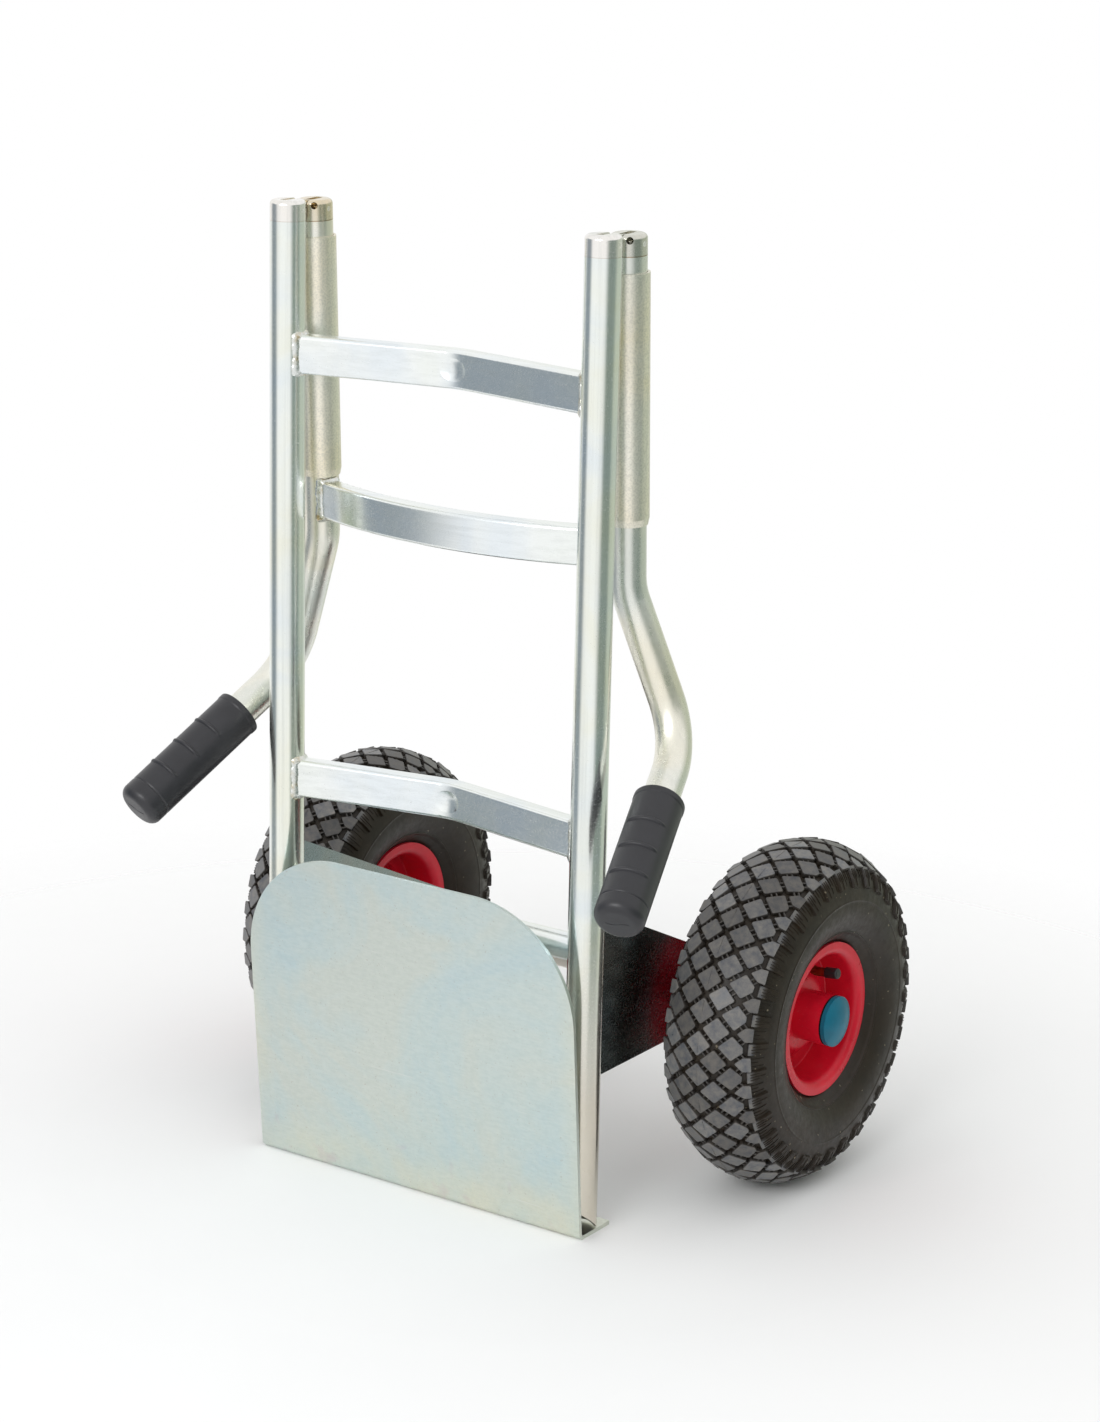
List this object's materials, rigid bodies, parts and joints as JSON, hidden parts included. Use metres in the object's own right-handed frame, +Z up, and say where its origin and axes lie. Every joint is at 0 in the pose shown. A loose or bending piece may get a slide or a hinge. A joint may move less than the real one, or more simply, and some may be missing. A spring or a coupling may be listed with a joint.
{
  "type": "folding hand truck",
  "caption": "Folding two-wheel hand truck of round steel tube with a hinged toe plate, fold-down handles with rubber grips and air-filled tyres.",
  "frame": {"origin": "on the floor under the folded toe plate, midway between the axes of the two uprights", "axes": "+Z up along the uprights, +X to the truck's side along the axle, +Y back towards the wheels"},
  "size_m": [0.484, 0.4023, 0.7195],
  "materials": {
    "zinc_tube": "bright zinc plating",
    "zinc_bar": "bright zinc plating",
    "hinge_steel": "bright zinc plating",
    "bracket_steel": "zinc plating with a dark blue tint",
    "weld": "plated weld bead",
    "pin_steel": "bright zinc plating",
    "toe_plate": "zinc plating with a pale rainbow tint",
    "grip": "matt moulded rubber",
    "rim_paint": "gloss red paint",
    "tyre": "black rubber",
    "inner_tube": "smooth black rubber",
    "bush_plastic": "plain moulded plastic",
    "hub_cap": "gloss blue plastic",
    "valve_brass": "aged brass",
    "valve_cap": "black plastic"
  },
  "bodies": {
    "frame": {"upright_tube_left": "zinc_tube", "upright_tube_right": "zinc_tube", "upright_cap_left": "hinge_steel", "upright_cap_right": "hinge_steel", "wheel_bracket_left": "bracket_steel", "wheel_bracket_right": "bracket_steel", "hub_cap_left": "hub_cap", "hub_cap_right": "hub_cap", "upper_crossbar": "zinc_bar", "lower_crossbar": "zinc_bar", "cross_tube": "zinc_bar", "frame_welds": "weld", "front_hinge_pins": "pin_steel", "toe_hinge_rod": "pin_steel", "axle": "pin_steel", "axle_spacers": "pin_steel"},
    "fold_links": {"fold_link_left": "hinge_steel", "fold_link_right": "hinge_steel"},
    "handle": {"handle_tube_left": "zinc_tube", "handle_tube_right": "zinc_tube", "handle_cap_left": "hinge_steel", "handle_cap_right": "hinge_steel", "grip_left": "grip", "grip_right": "grip", "handle_crossbar": "zinc_bar", "handle_welds": "weld", "rear_hinge_pins": "pin_steel"},
    "lock_sleeve_left": {"lock_sleeve_left": "zinc_tube"},
    "lock_sleeve_right": {"lock_sleeve_right": "zinc_tube"},
    "toe_plate": {"toe_plate": "toe_plate", "toe_plate_ears": "toe_plate"},
    "wheel_left": {"tyre_left": "tyre", "inner_tube_left": "inner_tube", "rim_outer_left": "rim_paint", "rim_inner_left": "rim_paint", "hub_left": "rim_paint", "axle_bushes_left": "bush_plastic", "valve_stem_left": "valve_brass", "valve_cap_left": "valve_cap"},
    "wheel_right": {"tyre_right": "tyre", "inner_tube_right": "inner_tube", "rim_outer_right": "rim_paint", "rim_inner_right": "rim_paint", "hub_right": "rim_paint", "axle_bushes_right": "bush_plastic", "valve_stem_right": "valve_brass", "valve_cap_right": "valve_cap"}
  },
  "joints": [
    {"name": "link_fold", "type": "hinge", "parent": "frame", "child": "fold_links", "pos_m": [0, 0, 0.713], "axis": [1, 0, 0], "range_deg": [0, 93.75]},
    {"name": "handle_fold", "type": "hinge", "parent": "fold_links", "child": "handle", "pos_m": [0, 0.0305, 0.711], "axis": [1, 0, 0], "range_deg": [0, 83.65]},
    {"name": "toe_plate_fold", "type": "hinge", "parent": "frame", "child": "toe_plate", "pos_m": [0, 0.005, 0.0232], "axis": [1, 0, 0], "range_deg": [-4, 85]},
    {"name": "sleeve_slide_left", "type": "slide", "parent": "handle", "child": "lock_sleeve_left", "axis": [0, -0.0454, 0.999], "range_m": [0, 0.014]},
    {"name": "wheel_spin_left", "type": "hinge", "parent": "frame", "child": "wheel_left", "pos_m": [-0.1965, 0.184, 0.13], "axis": [1, 0, 0], "continuous": true},
    {"name": "sleeve_slide_right", "type": "slide", "parent": "handle", "child": "lock_sleeve_right", "axis": [0, -0.0454, 0.999], "range_m": [0, 0.014]},
    {"name": "wheel_spin_right", "type": "hinge", "parent": "frame", "child": "wheel_right", "pos_m": [0.1965, 0.184, 0.13], "axis": [1, 0, 0], "continuous": true}
  ],
  "couplings": [
    {"joint": "handle_fold", "follows": "link_fold", "ratio": 0.8922}
  ]
}
